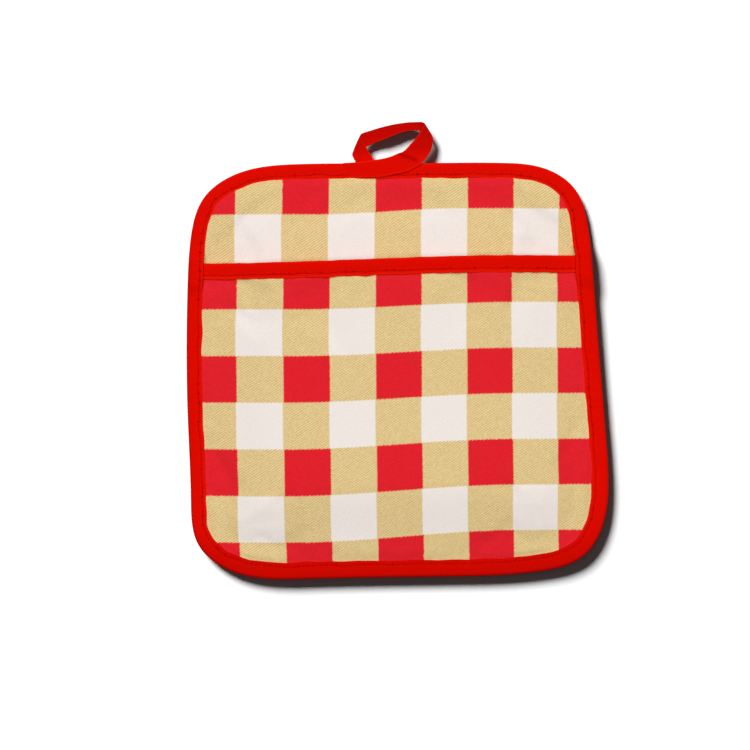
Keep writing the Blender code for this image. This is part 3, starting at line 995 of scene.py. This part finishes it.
def makeMouthBand():
    left, right = mouth["ends"]
    x = np.linspace(left, right, band["stations"])
    places = np.linspace(0.0, 0.5, len(x))
    top = mouthLine(x) + 0.5 * band["wave"] * wander(places, 10, 50, 21)
    height = bandHeight(x) + band["wave"] * wander(places, 12, 60, 23)

    def at(drop):
        return np.column_stack([x, mouthLine(x) - np.maximum(drop, mouth["panelBelow"])])

    def frontAt(drop):
        return panelHigh(at(drop)) + layers["air"] + layers["tape"]

    def backAt(drop):
        return panelLow(at(drop)) - layers["air"] - layers["tape"]

    seamDrop = height - band["seamFromEdge"]
    line = np.column_stack([x, top - seamDrop])
    phase, stitches = stitchPhase(line, band["pitch"], closed=False)
    chance = np.random.default_rng(29)
    deep = chance.uniform(0.2, 0.8, stitches + 1)[np.round(phase).astype(int)]
    hole = holeMark(phase, band["pitch"], band["holeLength"]) * deep
    ripple = band["pucker"] * (wander(places, 60, 150, 31) + np.cos(2.0 * np.pi * phase))

    rows, paintedShades, paintedHighlights = [], [], []

    def add(drop, heights, seam, fold):
        drop = np.broadcast_to(drop, len(x))
        rows.append(np.column_stack([x, top - drop, np.broadcast_to(heights, len(x))]))
        # painted shade in the trough and holes
        paintedShades.append(np.broadcast_to(seam, len(x)))
        # painted highlight along the folded edges
        paintedHighlights.append(np.broadcast_to(fold, len(x)))

    nose, thick = band["nose"], layers["tape"]
    add(height, backAt(height) + 0.5 * thick, 0.0, 0.2)
    add(height - 0.3, backAt(height), 0.0, 0.0)
    add(0.5 * height, backAt(0.5 * height), 0.0, 0.0)
    low, high = backAt(nose), frontAt(nose)
    for turn in np.linspace(-90.0, 90.0, 9):
        angle = math.radians(turn)
        lifted = 0.5 * (low + high) + 0.5 * (high - low) * bulge(angle)
        # painted highlight on the rounded edge
        rimHighlight = 0.7 * max(0.0, 1.0 - abs(turn - 25.0) / 50.0)
        add(nose * roundedIn(angle), lifted, 0.0, rimHighlight)
    for share in (0.3, 0.55, 0.8):
        drop = nose + (seamDrop - 0.9 - nose) * share
        add(drop, frontAt(drop) + 0.1 * math.sin(math.pi * share) + ripple * share, 0.0, 0.0)
    for off in acrossTrough:
        dip = math.exp(-(off / band["troughWidth"]) ** 2)
        down = dip * (band["trough"] + band["hole"] * hole) + band["sink"]
        # painted shade in the trough, darker still at the needle holes
        paintedShade = dip * (band["troughShade"] + band["holeShade"] * hole)
        add(seamDrop + off, frontAt(seamDrop + off) + 0.5 * ripple - down, paintedShade, 0.1)
    # painted highlight along the lip and the inner edge
    add(height - 0.55, frontAt(height - 0.55) - 0.05 - 0.4 * ripple, 0.0, 0.55)
    add(height - 0.15, frontAt(height - 0.15) - 0.2, 0.0, 0.8)
    foot = frontAt(height) - thick
    add(height, foot + 0.35, 0.0, 0.6)
    add(height - 0.1, foot, 0.0, 0.0)
    add(height - 0.6, foot, 0.0, 0.0)
    for drop in (1.9, 0.9):
        add(drop, frontAt(drop) - thick - (0.6 if drop < 1.0 else 0.0), 0.0, 0.0)
    for drop in (0.9, 1.9):
        add(drop, backAt(drop) + thick + (0.6 if drop < 1.0 else 0.0), 0.0, 0.0)
    add(height - 0.4, backAt(height) + thick, 0.0, 0.0)

    stations = np.stack(rows, axis=1)
    marks = {"seam": np.clip(np.stack(paintedShades, axis=1), 0.0, 1.0), "fold": np.stack(paintedHighlights, axis=1)}
    piece = sweep("mouthBand", stations, lengthAlong(line), False, marks)
    dress(piece, redTape, "red_tape", "pocket_binding")
    troughTop = frontAt(seamDrop) - band["trough"] - band["sink"]
    threads = makeThreads("mouthStitches", stitchRow(line, troughTop, phase, stitches, False, True))


makeMouthBand()
print("mouth band made")


# Hanging loop. Each row lies across the tape. Its first edge borders the opening along the
# sewn and the near run, and is the outer one along the far run, where the tape lies turned over.

loop = {
    "sewnRun": [
        (-26.0, 100.1, 4.0, -26.0, 93.1, 3.7),
        (-20.5, 100.4, 4.7, -20.5, 93.1, 4.5),
        (-15.5, 101.0, 5.3, -15.0, 93.2, 5.1),
        (-8.2, 101.9, 5.4, -7.6, 93.4, 5.5),
        (-3.2, 103.1, 5.4, -0.4, 94.8, 5.5),
        (0.6, 104.7, 5.4, 6.4, 96.6, 5.4),
        (3.3, 105.8, 5.4, 12.4, 100.4, 5.2),
        (5.6, 108.2, 5.3, 15.0, 103.6, 4.5),
        (8.6, 111.5, 5.2, 16.5, 106.3, 4.1),
        (10.8, 114.6, 5.3, 17.1, 108.6, 3.9),
    ],
    "rightFold": [(12.9, 119.5, 5.5, 4.6), (17.5, 111.8, 3.8, 2.9), -0.9],
    "farRun": [  # aslant: its outer edge is near the table and its inner one stands up
        (9.4, 119.9, 3.5, 12.2, 115.0, 3.2),
        (6.0, 119.8, 2.2, 8.2, 115.9, 3.9),
        (1.6, 119.3, 1.4, 3.0, 115.1, 4.3),
        (-2.6, 118.6, 1.1, -1.2, 113.5, 4.4),
        (-8.0, 117.3, 1.3, -6.4, 111.4, 4.1),
        (-12.6, 115.9, 2.3, -12.2, 109.2, 3.2),
    ],
    "leftFold": [(-17.2, 114.3, 3.4, 4.4), (-21.7, 103.9, 3.1, 4.1), 0.7],
    "nearRun": [
        (-15.2, 108.6, 4.5, -20.9, 102.2, 4.1),
        (-13.4, 105.3, 4.3, -20.6, 101.5, 4.0),
        (-11.3, 101.9, 3.9, -20.2, 101.0, 3.6),
        (-10.6, 100.2, 3.2, -20.1, 99.9, 3.1),
    ],
    "middle": (-2.0, 108.5),
    "foldSteps": 8,
    "soft": 0.35,  # how far the corners of a fold are drawn in
    "steps": 6,
    "thickness": 0.8,
    "section": [  # share of the half width, share of the half thickness
        (-1.0, 0.0), (-0.985, 0.55), (-0.93, 0.9), (-0.82, 1.0), (-0.55, 0.93), (-0.2, 1.02),
        (0.2, 1.02), (0.55, 0.93), (0.82, 1.0), (0.93, 0.9), (0.985, 0.55), (1.0, 0.0),
    ],
    "creases": [  # soft troughs pressed in from above: two ends, depth and width
        ((1.3, 104.2), (9.1, 101.6), 0.30, 1.0),
        ((-17.2, 113.7), (-15.0, 108.9), 0.15, 0.8),
    ],
    "standingShade": (0.32, 102.5, 5.0),  # painted shade, darker beyond the binding: how much, from which y and over what run
    "farShade": (0.3, 111.0, 3.0),  # more painted shade along the far run: by what share, from which y, over what run
    "creaseFrom": (3.9, 0.6),  # creases show on the upper layers: from which height, over what run
    # painted shade in the creases
    "creaseShade": 0.6,
    "flat": (0.0104, 0.096),  # widest across the bend; its area is that of tape 8.6 mm wide
    "area": 0.000826,
}


def foldRows(fold):
    # a half turn: each edge winds round its own half circle, aslant
    (holeX, holeY, holeStart, holeEnd), (rimX, rimY, rimStart, rimEnd), slant = fold
    ends = [(np.array([holeX, holeY]), holeStart, holeEnd), (np.array([rimX, rimY]), rimStart, rimEnd)]
    line = ends[1][0] - ends[0][0]
    line = line / np.linalg.norm(line)
    away = np.array([-line[1], line[0]])
    if away @ (ends[0][0] - np.array(loop["middle"])) < 0.0:
        away = -away
    rows = []
    for turn in np.linspace(0.0, np.pi, loop["foldSteps"] + 1):
        row = []
        for corner, start, end in ends:
            radius = 0.5 * abs(end - start)
            wound = radius * (turn - 0.5 * math.pi)
            spot = corner - away * radius * (1.0 - math.sin(turn)) + line * slant * wound
            row += [*spot, 0.5 * (start + end) + 0.5 * (start - end) * math.cos(turn)]
        rows.append((*row, *(away * loop["soft"] * math.sin(turn))))
    return rows


def level(rows):
    return [(*row, 0.0, 0.0) for row in rows]


def makeLoop():
    table = (level(loop["sewnRun"]) + foldRows(loop["rightFold"]) + level(loop["farRun"])
             + foldRows(loop["leftFold"]) + level(loop["nearRun"]))
    rows = openCurve(table, loop["steps"])
    hole, rim = rows[:, :3], rows[:, 3:6]
    drawnIn = np.column_stack([rows[:, 6:], np.zeros(len(rows))])
    centre = 0.5 * (hole + rim)
    half = 0.5 * (rim - hole)
    along = np.gradient(centre, axis=0)
    normal = np.cross(along, half)
    normal /= np.linalg.norm(normal, axis=1)[:, None]
    section = loop["section"] + [(across, -up) for across, up in loop["section"][-2:0:-1]]
    places = np.linspace(0.0, 0.5, len(rows))
    uneven = wander(places, 6, 30, 41)
    spots, paintedHighlights = [], []
    for across, up in section:
        swell = 0.5 * loop["thickness"] * up * (1.0 + 0.10 * uneven * (1.0 - abs(across)))
        spots.append(centre + half * across + normal * swell[:, None] - drawnIn * across ** 4)
        # painted highlight along both edges of the loop
        paintedHighlights.append(np.full(len(rows), 0.9 * smoothRise((abs(across) - 0.8) / 0.2)))
    stations = np.stack(spots, axis=1)
    flat = stations.reshape(-1, 3)
    # painted shade: darker beyond the binding, more on the far run and in the creases
    standingShade, duskFrom, duskRun = loop["standingShade"]
    shade = standingShade * smoothRise((flat[:, 1] - duskFrom) / duskRun)
    more, moreFrom, moreRun = loop["farShade"]
    shade = shade * (1.0 + more * smoothRise((flat[:, 1] - moreFrom) / moreRun))
    lowest, rise = loop["creaseFrom"]
    for start, end, deep, width in loop["creases"]:
        start, end = np.array(start), np.array(end)
        line = end - start
        share = np.clip((flat[:, :2] - start) @ line / (line @ line), 0.0, 1.0)
        gap = np.linalg.norm(flat[:, :2] - start - share[:, None] * line, axis=1)
        near = np.exp(-(gap / width) ** 2) * smoothRise((flat[:, 2] - lowest) / rise)
        flat[:, 2] -= deep * near
        shade = np.maximum(shade, loop["creaseShade"] * near)
    marks = {"seam": shade, "fold": np.stack(paintedHighlights, axis=1)}
    piece = sweep("hangingLoop", flat.reshape(stations.shape), lengthAlong(centre), False, marks)
    dress(piece, redTape, "red_tape", "loop")


makeLoop()
print("hanging loop made")


# Table, camera and light

light = {
    "sunFrom": (-0.60, 0.80),  # direction in the plane, towards the light
    "clothFrom": (-0.2, 0.98),
    "clothHeight": 52.0,
    "sunHeight": 34.0,  # degrees above the table
    "sunSpread": 23.0,
    "floorSun": 10.4,
    "pieceSun": 1.2,
    "softTop": 2.2,
    "softSpread": 50.0,
    "softFrom": (0.05, 0.1, 1.0),
    "around": 0.058,
    "floorSize": 6.0,  # metres
    "floorDrop": 0.0002,
    "floorTone": 0.62,
    "floorBounce": 0.265,  # how bright the table is to the cloth beside it
}


def makeFloor():
    bpy.ops.object.select_all(action="DESELECT")
    bpy.ops.mesh.primitive_plane_add(size=light["floorSize"], location=(0.0, 0.0, -light["floorDrop"]))
    floor = bpy.context.active_object
    floor.name = "table"
    bpy.ops.object.transform_apply(location=True, rotation=True, scale=True)
    paint = Paint("tableTop", Roughness=0.95)
    ray = paint.add("ShaderNodeLightPath", {}, {}, "Is Diffuse Ray")
    high, low = light["floorTone"], light["floorBounce"]
    color = paint.mix(ray, (high, high, high, 1.0), (low, low, low, 1.0))
    paint.feed(paint.shader.inputs["Base Color"], color)
    paint.shader.inputs["Specular IOR Level"].default_value = 0.0
    floor.data.materials.append(paint.material)
    floor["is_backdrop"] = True
    return floor


def makeSun(name, strength, spread, direction, receivers):
    data = bpy.data.lights.new(name, "SUN")
    data.energy = strength
    data.angle = math.radians(spread)
    sun = bpy.data.objects.new(name, data)
    sun.rotation_euler = Vector(direction).to_track_quat("Z", "Y").to_euler()
    bpy.context.scene.collection.objects.link(sun)
    lit = bpy.data.collections.new(name + "Lit")
    for thing in receivers:
        lit.objects.link(thing)
    sun.light_linking.receiver_collection = lit


def makeLight(floor):
    def towards(way, degrees):
        height = math.radians(degrees)
        return (way[0] * math.cos(height), way[1] * math.cos(height), math.sin(height))

    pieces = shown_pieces()
    onTable = towards(light["sunFrom"], light["sunHeight"])
    onCloth = towards(light["clothFrom"], light["clothHeight"])
    makeSun("tableSun", light["floorSun"], light["sunSpread"], onTable, [floor])
    makeSun("clothSun", light["pieceSun"], light["sunSpread"], onCloth, pieces)
    makeSun("softLight", light["softTop"], light["softSpread"], light["softFrom"], pieces)
    world = bpy.data.worlds.new("studio")
    bpy.context.scene.world = world
    world.use_nodes = True
    tree = world.node_tree
    back = tree.nodes["Background"]
    ray = tree.nodes.new("ShaderNodeLightPath")
    power = tree.nodes.new("ShaderNodeMapRange")
    power.inputs["To Min"].default_value = light["around"]
    power.inputs["To Max"].default_value = 1.0
    tree.links.new(ray.outputs["Is Camera Ray"], power.inputs["Value"])
    tree.links.new(power.outputs[0], back.inputs["Strength"])
    back.inputs["Color"].default_value = (1.0, 1.0, 1.0, 1.0)


def makeCamera():
    data = bpy.data.cameras.new("camera")
    data.sensor_width = camera["sensor"]
    data.lens = camera["sensor"] * camera["height"] / camera["width"]
    view = bpy.data.objects.new("camera", data)
    x, y = camera["centre"]
    view.location = (x * mm, y * mm, camera["height"] * mm)
    bpy.context.scene.collection.objects.link(view)
    bpy.context.scene.camera = view


makeLight(makeFloor())
makeCamera()
bpy.context.scene.view_settings.view_transform = "Standard"
print("stage made")
